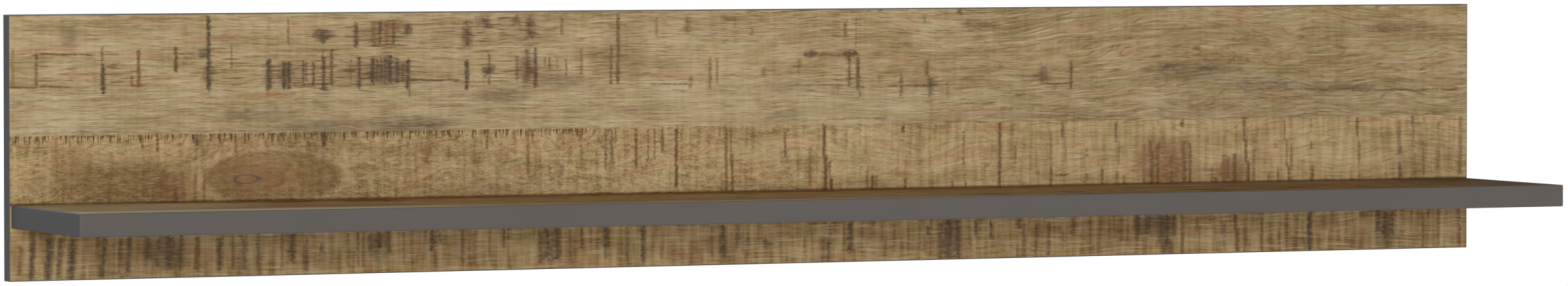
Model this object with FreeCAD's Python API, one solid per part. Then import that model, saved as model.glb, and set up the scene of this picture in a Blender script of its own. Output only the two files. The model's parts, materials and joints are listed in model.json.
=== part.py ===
import FreeCAD, Part
import math
import os

from FreeCAD import Vector

# Wall shelf: a back panel that hangs flat against the wall, and one shelf board that stands out from its front.
# X runs along the shelf, Y points into the wall and Z is up. The origin is the middle of the panel's rear face.
# Both boards are chipboard with a decor sheet on each face and plastic bands round the edges that show.
# Lengths are in millimetres and angles in degrees.

# Back panel
panel_length = 1600.0
panel_height = 255.0
panel_thickness = 15.0
panel_band_thickness = 1.0
panel_band_radius = 0.6
decor_thickness = 0.2

# Shelf board
shelf_depth = 200.0
shelf_thickness = 22.0
shelf_end_inset = 2.5
shelf_top_above_panel_bottom = 73.0
shelf_band_thickness = 2.0
shelf_band_radius = 1.2

# Connector screws, driven from the rear of the panel into the shelf board's rear edge
connector_count = 5
connector_end_distance = 80.0
connector_length = 50.0
connector_head_diameter = 10.0
connector_head_rim = 0.6
connector_neck_diameter = 7.0
connector_neck_length = 12.0
connector_core_diameter = 5.0
connector_thread_diameter = 7.0
connector_thread_pitch = 3.0
connector_tip_length = 3.0
connector_tip_diameter = 2.6
connector_sunk = 0.4
connector_socket_width = 4.0
connector_socket_depth = 3.0

# Fluted dowels, one between each pair of connector screws
dowel_diameter = 8.0
dowel_length = 30.0
dowel_flutes = 18
dowel_flute_depth = 0.35
dowel_chamfer = 1.0
dowel_end_gap = 0.6
dowel_hole_cover = 4.4

# Hanger plates, let into the rear of the panel, each with a keyhole for the head of a wall screw
hanger_end_distance = 200.0
hanger_drop = 40.0
plate_width = 60.0
plate_height = 36.0
plate_thickness = 2.0
plate_corner_radius = 5.0
plate_sunk = 0.3
keyhole_entry_diameter = 11.0
keyhole_slot_width = 5.5
keyhole_rise = 11.0
head_pocket_margin = 2.0
head_pocket_cover = 5.5

# Countersunk screws that hold each hanger plate
plate_screw_end_distance = 8.0
plate_screw_cover = 2.7
plate_screw_head_diameter = 7.0
plate_screw_head_rim = 0.3
plate_screw_core_diameter = 2.3
plate_screw_thread_diameter = 3.5
plate_screw_thread_pitch = 1.6
plate_screw_tip_length = 2.5
plate_screw_tip_diameter = 0.6
plate_screw_recess_depth = 1.6
plate_screw_recess_span = 3.6
plate_screw_recess_width = 0.9

# Clearances and shared values
hole_clearance = 0.1
dowel_clearance = 0.05
pocket_clearance = 0.2
thread_crest_share = 0.15
thread_root_share = 0.8
thread_root_sink = 0.1
overrun = 5.0
head_cone_angle = 90.0
quarter_turn = 90.0
half_turn = 180.0
full_turn = 360.0
hexagon_sides = 6

# Places and sizes worked out from the ones above
panel_front_y = -panel_thickness
panel_half_length = panel_length / 2
panel_half_height = panel_height / 2
shelf_length = panel_length - 2 * shelf_end_inset
shelf_half_length = shelf_length / 2
shelf_front_y = panel_front_y - shelf_depth
shelf_top_z = -panel_half_height + shelf_top_above_panel_bottom
shelf_bottom_z = shelf_top_z - shelf_thickness
joint_z = (shelf_top_z + shelf_bottom_z) / 2
connector_spacing = (shelf_length - 2 * connector_end_distance) / (connector_count - 1)
dowel_outer_y = -(dowel_hole_cover + dowel_end_gap)
hanger_z = panel_half_height - hanger_drop
plate_face_y = -plate_sunk
plate_screw_spacing = plate_width - 2 * plate_screw_end_distance
plate_screw_length = panel_thickness - plate_sunk - plate_screw_cover
head_pocket_width = keyhole_entry_diameter + 2 * head_pocket_margin
head_pocket_depth = panel_thickness - head_pocket_cover


def box_between(low_x, high_x, low_y, high_y, low_z, high_z):
    corner = Vector(low_x, low_y, low_z)
    return Part.makeBox(high_x - low_x, high_y - low_y, high_z - low_z, corner)


def cylinder_below(radius, top, length):
    return Part.makeCylinder(radius, length, Vector(0, 0, top - length))


def facing_wall(shape, x, y, z):
    # A shape made along Z, with its outer end at zero, is turned to face the wall and moved to its place.
    # Its local Y then points down.
    turned = shape.copy()
    turned.rotate(Vector(0, 0, 0), Vector(1, 0, 0), -quarter_turn)
    turned.translate(Vector(x, y, z))
    return turned


def connector_places():
    first = -shelf_half_length + connector_end_distance
    return [first + index * connector_spacing for index in range(connector_count)]


def dowel_places():
    screws = connector_places()
    return [(left + right) / 2 for left, right in zip(screws, screws[1:])]


def hanger_places():
    reach = panel_half_length - hanger_end_distance
    return {"left": -reach, "right": reach}


def plate_screw_places(hanger_x):
    return [hanger_x - plate_screw_spacing / 2, hanger_x + plate_screw_spacing / 2]


def countersunk_head(radius, neck_radius, rim, rim_reach):
    # The rim, which can run on above zero, and the cone under it down to the neck.
    cone_height = (radius - neck_radius) / math.tan(math.radians(head_cone_angle / 2))
    rim_solid = cylinder_below(radius, rim_reach, rim + rim_reach)
    cone = Part.makeCone(neck_radius, radius, cone_height, Vector(0, 0, -rim - cone_height))
    return [rim_solid, cone], rim + cone_height


def screw_thread(core_radius, outer_radius, pitch, length, bottom):
    # One helical ridge, a little flat on its crest, that stands on the core.
    half_root = pitch * thread_root_share / 2
    half_crest = pitch * thread_crest_share / 2
    root_radius = core_radius - thread_root_sink
    outline = [
        Vector(root_radius, 0, -half_root),
        Vector(outer_radius, 0, -half_crest),
        Vector(outer_radius, 0, half_crest),
        Vector(root_radius, 0, half_root),
        Vector(root_radius, 0, -half_root),
    ]
    path = Part.makeHelix(pitch, length, core_radius)
    ridge = Part.Wire(path).makePipeShell([Part.makePolygon(outline)], True, True)
    ridge.translate(Vector(0, 0, bottom))
    return ridge


def countersunk_screw(head_diameter, rim, neck_diameter, neck_length, core_diameter,
                      thread_diameter, pitch, length, tip_length, tip_diameter):
    # Head, smooth neck, threaded core and a blunt tip. A neck no longer than its head isn't seen.
    core_radius = core_diameter / 2
    head, head_height = countersunk_head(head_diameter / 2, neck_diameter / 2, rim, 0)
    core_top = max(neck_length, head_height)
    core_length = length - core_top - tip_length
    neck = cylinder_below(neck_diameter / 2, 0, core_top)
    core = cylinder_below(core_radius, -core_top, core_length)
    tip = Part.makeCone(tip_diameter / 2, core_radius, tip_length, Vector(0, 0, -length))
    thread_bottom = -length + tip_length + pitch / 2
    thread = screw_thread(core_radius, thread_diameter / 2, pitch, core_length - pitch, thread_bottom)
    return head[0].fuse([head[1], neck, core, tip, thread])


def countersunk_hole(head_diameter, rim, neck_diameter, length):
    neck_radius = neck_diameter / 2 + hole_clearance
    head, _ = countersunk_head(head_diameter / 2 + hole_clearance, neck_radius, rim, overrun)
    return head[0].fuse([head[1], cylinder_below(neck_radius, 0, length)])


def hexagon_socket():
    corner_radius = connector_socket_width / 2 / math.cos(math.radians(half_turn / hexagon_sides))
    corners = []
    for index in range(hexagon_sides + 1):
        angle = math.radians(full_turn * index / hexagon_sides)
        corner = Vector(corner_radius * math.cos(angle), corner_radius * math.sin(angle), -connector_socket_depth)
        corners.append(corner)
    outline = Part.Face(Part.makePolygon(corners))
    return outline.extrude(Vector(0, 0, connector_socket_depth + overrun))


def connector_screw():
    # Flat head, a neck that fills the panel's hole, and a coarse thread for the shelf.
    body = countersunk_screw(
        connector_head_diameter, connector_head_rim, connector_neck_diameter, connector_neck_length,
        connector_core_diameter, connector_thread_diameter, connector_thread_pitch, connector_length,
        connector_tip_length, connector_tip_diameter)
    return body.cut(hexagon_socket()).removeSplitter()


def connector_hole():
    # Through the panel with its countersink, and on into the shelf's edge.
    widest = max(connector_neck_diameter, connector_thread_diameter)
    return countersunk_hole(connector_head_diameter, connector_head_rim, widest, connector_length + hole_clearance)


def cross_recess():
    span = plate_screw_recess_span
    width = plate_screw_recess_width
    depth = plate_screw_recess_depth
    across = Part.makeBox(span, width, depth + overrun, Vector(-span / 2, -width / 2, -depth))
    along = Part.makeBox(width, span, depth + overrun, Vector(-width / 2, -span / 2, -depth))
    taper = Part.makeCone(width / 2, span / 2, depth, Vector(0, 0, -depth))
    mouth = Part.makeCylinder(span / 2, overrun)
    return across.fuse(along).common(taper.fuse(mouth))


def plate_screw():
    # A wood screw with a cross recess, threaded up to its head.
    body = countersunk_screw(
        plate_screw_head_diameter, plate_screw_head_rim, plate_screw_core_diameter, 0,
        plate_screw_core_diameter, plate_screw_thread_diameter, plate_screw_thread_pitch, plate_screw_length,
        plate_screw_tip_length, plate_screw_tip_diameter)
    return body.cut(cross_recess()).removeSplitter()


def plate_screw_hole():
    return countersunk_hole(
        plate_screw_head_diameter, plate_screw_head_rim, plate_screw_thread_diameter,
        plate_screw_length + hole_clearance)


def dowel():
    # The flutes let glue and air out, and both ends are chamfered.
    outer = dowel_diameter / 2
    points = []
    steps = 2 * dowel_flutes
    for index in range(steps + 1):
        angle = math.radians(full_turn * index / steps)
        radius = outer - dowel_flute_depth if index % 2 else outer
        points.append(Vector(radius * math.cos(angle), radius * math.sin(angle), -dowel_length))
    fluted = Part.Face(Part.makePolygon(points)).extrude(Vector(0, 0, dowel_length))
    narrow = outer - dowel_chamfer
    low_end = Part.makeCone(narrow, outer, dowel_chamfer, Vector(0, 0, -dowel_length))
    middle = cylinder_below(outer, -dowel_chamfer, dowel_length - 2 * dowel_chamfer)
    high_end = Part.makeCone(outer, narrow, dowel_chamfer, Vector(0, 0, -dowel_chamfer))
    return fluted.common(low_end.fuse([middle, high_end]).removeSplitter())


def dowel_hole():
    return cylinder_below(dowel_diameter / 2 + dowel_clearance, dowel_end_gap, dowel_length + 2 * dowel_end_gap)


def rounded_block(width, height, radius, top, bottom):
    block = Part.makeBox(width, height, top - bottom, Vector(-width / 2, -height / 2, bottom))
    corners = [edge for edge in block.Edges if edge.BoundBox.ZLength > edge.BoundBox.DiagonalLength / 2]
    return block.makeFillet(min(radius, width / 2, height / 2), corners)


def keyhole(entry_radius, slot_radius, top, bottom):
    # The entry is below the middle and the slot rises from it, once the shape faces the wall.
    length = top - bottom
    entry_y = keyhole_rise / 2
    slot_end_y = -keyhole_rise / 2
    entry = Part.makeCylinder(entry_radius, length, Vector(0, entry_y, bottom))
    slot_end = Part.makeCylinder(slot_radius, length, Vector(0, slot_end_y, bottom))
    slot = Part.makeBox(2 * slot_radius, keyhole_rise, length, Vector(-slot_radius, slot_end_y, bottom))
    return entry.fuse([slot_end, slot]).removeSplitter()


def hanger_plate():
    blank = rounded_block(plate_width, plate_height, plate_corner_radius, 0, -plate_thickness)
    cutters = [keyhole(keyhole_entry_diameter / 2, keyhole_slot_width / 2, overrun, -plate_thickness - overrun)]
    for x in plate_screw_places(0):
        hole = plate_screw_hole()
        hole.translate(Vector(x, 0, 0))
        cutters.append(hole)
    return blank.cut(cutters)


def hanger_pocket():
    # A shallow seat for the plate, and a deeper slot behind the keyhole for the wall screw's head.
    seat = rounded_block(
        plate_width + 2 * pocket_clearance, plate_height + 2 * pocket_clearance,
        plate_corner_radius + pocket_clearance, overrun, -plate_sunk - plate_thickness)
    head_room = keyhole(head_pocket_width / 2, head_pocket_width / 2, overrun, -head_pocket_depth)
    return seat.fuse(head_room)


def connector_cutters():
    return [facing_wall(connector_hole(), x, -connector_sunk, joint_z) for x in connector_places()]


def dowel_cutters():
    return [facing_wall(dowel_hole(), x, dowel_outer_y, joint_z) for x in dowel_places()]


def hanger_cutters():
    cutters = []
    for hanger_x in hanger_places().values():
        cutters.append(facing_wall(hanger_pocket(), hanger_x, 0, hanger_z))
        for x in plate_screw_places(hanger_x):
            cutters.append(facing_wall(plate_screw_hole(), x, plate_face_y, hanger_z))
    return cutters


def panel_layers():
    # The core and its two decor sheets lie inside the edge bands, and the same holes go through all three.
    reach_x = panel_half_length - panel_band_thickness
    reach_z = panel_half_height - panel_band_thickness
    core_rear_y = -decor_thickness
    core_front_y = panel_front_y + decor_thickness
    cutters = connector_cutters() + dowel_cutters() + hanger_cutters()
    layers = {
        "panel_board": box_between(-reach_x, reach_x, core_front_y, core_rear_y, -reach_z, reach_z),
        "panel_front_decor": box_between(-reach_x, reach_x, panel_front_y, core_front_y, -reach_z, reach_z),
        "panel_rear_decor": box_between(-reach_x, reach_x, core_rear_y, 0, -reach_z, reach_z),
    }
    return {name: layer.cut(cutters) for name, layer in layers.items()}


def panel_bands():
    # The bands are slices of one block with eased edges, and the long bands cover the ends of the short ones.
    block = box_between(
        -panel_half_length, panel_half_length, panel_front_y, 0, -panel_half_height, panel_half_height)
    eased = block.makeFillet(min(panel_band_radius, panel_band_thickness), block.Edges)
    inner_x = panel_half_length - panel_band_thickness
    inner_z = panel_half_height - panel_band_thickness
    top = box_between(-panel_half_length, panel_half_length, panel_front_y, 0, inner_z, panel_half_height)
    bottom = box_between(-panel_half_length, panel_half_length, panel_front_y, 0, -panel_half_height, -inner_z)
    left = box_between(-panel_half_length, -inner_x, panel_front_y, 0, -inner_z, inner_z)
    right = box_between(inner_x, panel_half_length, panel_front_y, 0, -inner_z, inner_z)
    return {
        "panel_edge_band_top": eased.common(top),
        "panel_edge_band_bottom": eased.common(bottom),
        "panel_edge_band_left": eased.common(left),
        "panel_edge_band_right": eased.common(right),
    }


def shelf_layers():
    reach_x = shelf_half_length - shelf_band_thickness
    front_y = shelf_front_y + shelf_band_thickness
    core_top_z = shelf_top_z - decor_thickness
    core_bottom_z = shelf_bottom_z + decor_thickness
    core = box_between(-reach_x, reach_x, front_y, panel_front_y, core_bottom_z, core_top_z)
    top = box_between(-reach_x, reach_x, front_y, panel_front_y, core_top_z, shelf_top_z)
    underside = box_between(-reach_x, reach_x, front_y, panel_front_y, shelf_bottom_z, core_bottom_z)
    return {
        "shelf_board": core.cut(connector_cutters() + dowel_cutters()),
        "shelf_top_decor": top,
        "shelf_underside_decor": underside,
    }


def shelf_bands():
    # The front band covers the ends of the side bands. The rear edge meets the panel and stays bare and square.
    block = box_between(
        -shelf_half_length, shelf_half_length, shelf_front_y, panel_front_y, shelf_bottom_z, shelf_top_z)
    shown = [edge for edge in block.Edges if edge.BoundBox.YMin < panel_front_y - shelf_depth / 2]
    radius = min(shelf_band_radius, shelf_band_thickness, shelf_thickness / 2)
    eased = block.makeFillet(radius, shown)
    inner_x = shelf_half_length - shelf_band_thickness
    inner_y = shelf_front_y + shelf_band_thickness
    front = box_between(
        -shelf_half_length, shelf_half_length, shelf_front_y, inner_y, shelf_bottom_z, shelf_top_z)
    left = box_between(-shelf_half_length, -inner_x, inner_y, panel_front_y, shelf_bottom_z, shelf_top_z)
    right = box_between(inner_x, shelf_half_length, inner_y, panel_front_y, shelf_bottom_z, shelf_top_z)
    return {
        "shelf_edge_band_front": eased.common(front),
        "shelf_edge_band_left": eased.common(left),
        "shelf_edge_band_right": eased.common(right),
    }


def fasteners():
    connector = connector_screw()
    rod = dowel()
    plate = hanger_plate()
    screw = plate_screw()
    parts = {
        "connector_screws": [facing_wall(connector, x, -connector_sunk, joint_z) for x in connector_places()],
        "joint_dowels": [facing_wall(rod, x, dowel_outer_y, joint_z) for x in dowel_places()],
    }
    for side, hanger_x in hanger_places().items():
        screws = [facing_wall(screw, x, plate_face_y, hanger_z) for x in plate_screw_places(hanger_x)]
        parts["hanger_plate_" + side] = [facing_wall(plate, hanger_x, plate_face_y, hanger_z)]
        parts["hanger_plate_screws_" + side] = screws
    return parts


def write_parts(parts):
    os.makedirs("parts", exist_ok=True)
    for name, shapes in parts.items():
        solids = [solid for shape in shapes for solid in shape.Solids]
        whole = solids[0] if len(solids) == 1 else Part.makeCompound(solids)
        whole.exportStep(os.path.join("parts", name + ".step"))
        volume = sum(solid.Volume for solid in solids)
        print(f"{name}: {len(solids)} solids, {volume:.0f} mm3, valid {whole.isValid()}")


def main():
    parts = fasteners()
    for group in (panel_layers(), panel_bands(), shelf_layers(), shelf_bands()):
        parts.update({name: [shape] for name, shape in group.items()})
    write_parts(parts)


main()
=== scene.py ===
import json
import math
from functools import partial

import bpy
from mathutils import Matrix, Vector


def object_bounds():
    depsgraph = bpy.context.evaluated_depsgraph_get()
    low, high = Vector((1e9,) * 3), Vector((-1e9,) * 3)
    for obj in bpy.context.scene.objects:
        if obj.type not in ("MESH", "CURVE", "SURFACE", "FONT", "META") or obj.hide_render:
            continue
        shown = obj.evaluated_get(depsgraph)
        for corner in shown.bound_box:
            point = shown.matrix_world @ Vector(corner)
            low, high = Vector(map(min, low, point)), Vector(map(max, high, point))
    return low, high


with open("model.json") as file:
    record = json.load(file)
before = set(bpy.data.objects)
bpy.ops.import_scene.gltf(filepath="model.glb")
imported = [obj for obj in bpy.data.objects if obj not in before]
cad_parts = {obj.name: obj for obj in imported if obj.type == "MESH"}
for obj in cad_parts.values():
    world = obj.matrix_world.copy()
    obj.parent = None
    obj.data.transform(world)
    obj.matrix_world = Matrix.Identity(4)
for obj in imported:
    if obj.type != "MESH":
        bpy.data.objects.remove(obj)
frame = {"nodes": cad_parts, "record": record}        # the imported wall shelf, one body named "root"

cadLow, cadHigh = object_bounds()
print("frame loaded:", len(frame["nodes"]), "nodes")

# The photograph's camera, fitted to the panel's and the shelf's edges. Metres and degrees.
cameraPlace = {
    "location": (-2.9681, -6.5076, 0.2424),
    "turn": 24.6648,        # from straight ahead towards +X
    "down": 1.9963,
    "lens": 164.003,        # mm, on a 36 mm wide sensor
    "sensor": 36.0,
}

# Soft studio light: one big far softbox, low in front on the left, a weaker one behind, and an even grey
# room. Angles are in degrees: aside is to the left of the panel's normal, and spread is how wide a softbox
# looks.
softboxes = {
    "farSoftbox": {"aside": 26.0, "up": 7.0, "spread": 34.0, "strength": 2.72, "colour": "#FFFDF8"},
    "rearSoftbox": {"aside": 180.0, "up": 22.0, "spread": 24.0, "strength": 1.4, "colour": "#FFFDF8"},
}
room = {
    "colour": "#F0F5FF",
    "strength": 0.24,
    "mirrored": 0.4,        # how much of the room's white a shiny surface sees
}
studioFloor = {
    "colour": "#F4F3F0",
    "drop": 1.15,           # the floor lies this far under the panel
    "radius": 16.0,
    "fade": 6.0,            # the rim melts into the white room over this width
}


def linear(hexColour):
    parts = [int(hexColour[i:i + 2], 16) / 255 for i in (1, 3, 5)]
    return tuple(c / 12.92 if c <= 0.04045 else ((c + 0.055) / 1.055) ** 2.4 for c in parts) + (1.0,)


def addNode(tree, kind, sockets=None, operation=None, **settings):
    # Sockets go by name or by number. A MapRange has 0 value, 1 and 2 the range from, 3 and 4 the range to.
    # A hex colour is turned to linear.
    made = tree.nodes.new(kind if kind.startswith("Node") else "ShaderNode" + kind)
    if operation:
        made.operation = operation
    if kind == "Mix":
        made.data_type = "RGBA"    # every mix here is of colours
    for name, value in settings.items():
        setattr(made, name, value)
    for key, value in (sockets or {}).items():
        named = [s for s in made.inputs if s.name == key and s.enabled]
        socket = made.inputs[key] if isinstance(key, int) else named[0]
        if isinstance(value, str):
            value = linear(value)
        if isinstance(value, bpy.types.Node):
            value = [s for s in value.outputs if s.enabled][0]
        if isinstance(value, bpy.types.NodeSocket):
            tree.links.new(value, socket)
        else:
            socket.default_value = value
    return made


def startMaterial(name):
    # Also gives its addNode, and the place in millimetres
    material = bpy.data.materials.new(name)
    material.use_nodes = True
    material.node_tree.nodes.clear()
    add = partial(addNode, material.node_tree)
    place = add("TexCoord").outputs["Object"]
    return material, add, add("VectorMath", {0: place, 1: (1000, 1000, 1000)}, "MULTIPLY")


eased = {"interpolation_type": "SMOOTHSTEP"}     # a MapRange that starts and ends softly


def makeCamera(place):
    across = math.radians(place["turn"])
    down = math.radians(place["down"])
    bpy.ops.object.camera_add(location=place["location"], rotation=(math.pi / 2 - down, 0, -across))
    camera = bpy.context.object
    camera.name = "photoCamera"
    camera.data.sensor_fit = "HORIZONTAL"
    camera.data.sensor_width = place["sensor"]
    camera.data.lens = place["lens"]
    camera.data.clip_end = 200
    bpy.context.scene.camera = camera


def makeSoftbox(name, light):
    aside = math.radians(light["aside"])
    up = math.radians(light["up"])
    away = Vector((-math.sin(aside) * math.cos(up), -math.cos(aside) * math.cos(up), math.sin(up)))
    turn = away.to_track_quat("Z", "Y").to_euler()
    bpy.ops.object.light_add(type="SUN", location=away * 6, rotation=turn)
    lamp = bpy.context.object
    lamp.name = name
    lamp.data.angle = math.radians(light["spread"])
    lamp.data.energy = light["strength"]
    lamp.data.color = linear(light["colour"])[:3]


def makeRoom(light):
    world = bpy.data.worlds.new("plainRoom")
    bpy.context.scene.world = world
    world.use_nodes = True
    world.node_tree.nodes.clear()
    add = partial(addNode, world.node_tree)
    path = add("LightPath")
    shiny = add("Math", {0: path.outputs["Is Glossy Ray"], 1: light["mirrored"]}, "MULTIPLY")
    seen = add("Math", {0: path.outputs["Is Camera Ray"], 1: shiny}, "MAXIMUM")
    seen = add("Math", {0: seen, 1: path.outputs["Is Transmission Ray"]}, "MAXIMUM")
    fill = add("Background", {"Color": light["colour"], "Strength": light["strength"]})
    white = add("Background", {"Color": "#FFFFFF"})
    both = add("MixShader", {0: seen, 1: fill, 2: white})
    add("OutputWorld", {"Surface": both})


def makeFloor(look):
    bpy.ops.object.select_all(action="DESELECT")
    bpy.ops.mesh.primitive_circle_add(vertices=96, radius=look["radius"], fill_type="NGON",
                                      location=(0, 0, cadLow.z - look["drop"]))
    floor = bpy.context.object
    floor.name = "studioFloor"
    bpy.ops.object.transform_apply()
    material, add, place = startMaterial("mattStudioFloor")
    flat = add("VectorMath", {0: place, 1: (0.001, 0.001, 0)}, "MULTIPLY")
    reach = add("VectorMath", {0: flat}, "LENGTH")
    rim = add("MapRange", {0: reach.outputs["Value"], 1: look["radius"] - look["fade"],
                           2: look["radius"] - 0.2}, **eased)
    under = add("NewGeometry").outputs["Backfacing"]
    clear = add("Math", {0: rim, 1: under}, "MAXIMUM")
    matt = add("BsdfDiffuse", {"Color": look["colour"]})
    open_ = add("BsdfTransparent")
    both = add("MixShader", {0: clear, 1: matt, 2: open_})
    add("OutputMaterial", {"Surface": both})
    floor.data.materials.append(material)


# Melamine-faced chipboard printed as rough-sawn old boards: matt, long grain, dark saw and stain marks
# across it. Places are millimetres on the panel's face: u to the right, v up, both from its middle.
boardPrint = {
    "pale": "#C6B89B",
    "middle": "#AC9979",
    "deep": "#7F6A4A",
    "half": 128,                  # the print reaches this far up and down
    "halfLength": 808,            # and this far left and right
    "boardEdges": (-60, 11, 57),  # where one printed board ends and the next begins
    "boardStep": 9100.0,          # far enough apart for every board to have other grain
    "boardTints": ("#EEE2D0", "#F8F0DD", "#FFFEFA", "#FFFBF4"),  # from the lowest board to the highest
    "agedTint": "#ECEAE3",        # the upper boards' right half
    "greenish": "#F7F8EC",        # soft patches of colour lie between these two
    "pinkish": "#FFF6F0",
    "rubbed": "#ECDDB6",          # paler print on the panel's front, painted sheen on the shelf's top, brightest at its front edge
    "edgeWander": 1.2,
    "grainWander": 4.5,
    "swirl": 4.2,                 # how much more the curly board's grain wanders
    "wanderSize": (150, 50),      # mm along the grain and across it, as in every size here
    "cloudSize": (110, 22),
    "patchSize": (60, 14),        # of the greenish and pinkish patches
    "paleSize": (42, 1.9),        # pale streaks
    "streakPitch": 3.0,           # mm from one grain streak to the next
    "fibrePitch": 1.2,
    "curlSize": (6.0, 2.4),
    "flameSize": (60, 24),
    "flames": 8.0,                # more of it draws the curly figure's lines closer
    "ringSize": (230, 24),
    "rings": 13.0,                # the same for the growth rings
    "ringStrength": 0.42,
    "poreSize": (24, 1.4),
    "riseFrom": 225,              # the top board's grain climbs between these two places
    "riseTo": 470,
    "rise": 19,
    "markGap": 0.7,               # at least this far apart in one layer of marks
    "sawRamp": 240,               # one colour ramp holds marks over this length
    "streakRamp": 110,
    "fadeOut": 4.0,               # a mark's ends fade over this length
    "softSide": 1.3,              # mm that a mark's sides fade over
    "ragged": 0.7,                # how far they are frayed
    "dashSize": (9, 1.7),
    "lean": 4.0,                  # the lowest board's left marks lean this far
    "combTo": -180,               # short ticks hang under the middle board's edge up to here
    "roughest": 0.78,
    "smoothest": 0.66,
    "shine": 0.1,
}

stainTones = {"orange": "#97733F", "red": "#7B5538", "brown": "#644828", "purple": "#54453A",
              "blue": "#4E4439"}

# Knots, each with its place, half length and height, and rings (distance, tone, strength)
knots = {
    "eye": {"at": (-559, -33), "half": (13.5, 4.2), "rings": (
        (0, "red", .5), (.7, "red", .45), (.85, "purple", .6), (1.0, "purple", .8), (1.15, "purple", .35),
        (1.5, "red", .34), (2.3, "red", .3), (2.7, "brown", .22), (3.0, "brown", .3), (3.3, "orange", .2),
        (4.0, "red", .14), (4.6, "red", 0))},
    "oval": {"at": (-532, -32), "half": (70, 25), "rings": (
        (0, "red", .5), (.36, "red", .5), (.44, "red", .3), (.52, "red", .5), (.6, "brown", .3),
        (.7, "brown", .46), (.8, "brown", .36), (.92, "brown", .5), (1.02, "brown", .2),
        (1.1, "pale", .12), (1.25, "pale", 0))},
    "leaf": {"at": (-262, -30), "half": (36, 13), "rings": (
        (0, "brown", .08), (.55, "brown", .1), (.62, "brown", .28), (.7, "pale", .1), (.93, "brown", .12),
        (1.0, "brown", .3), (1.1, "pale", .12), (1.3, "pale", 0))},
}

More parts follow.
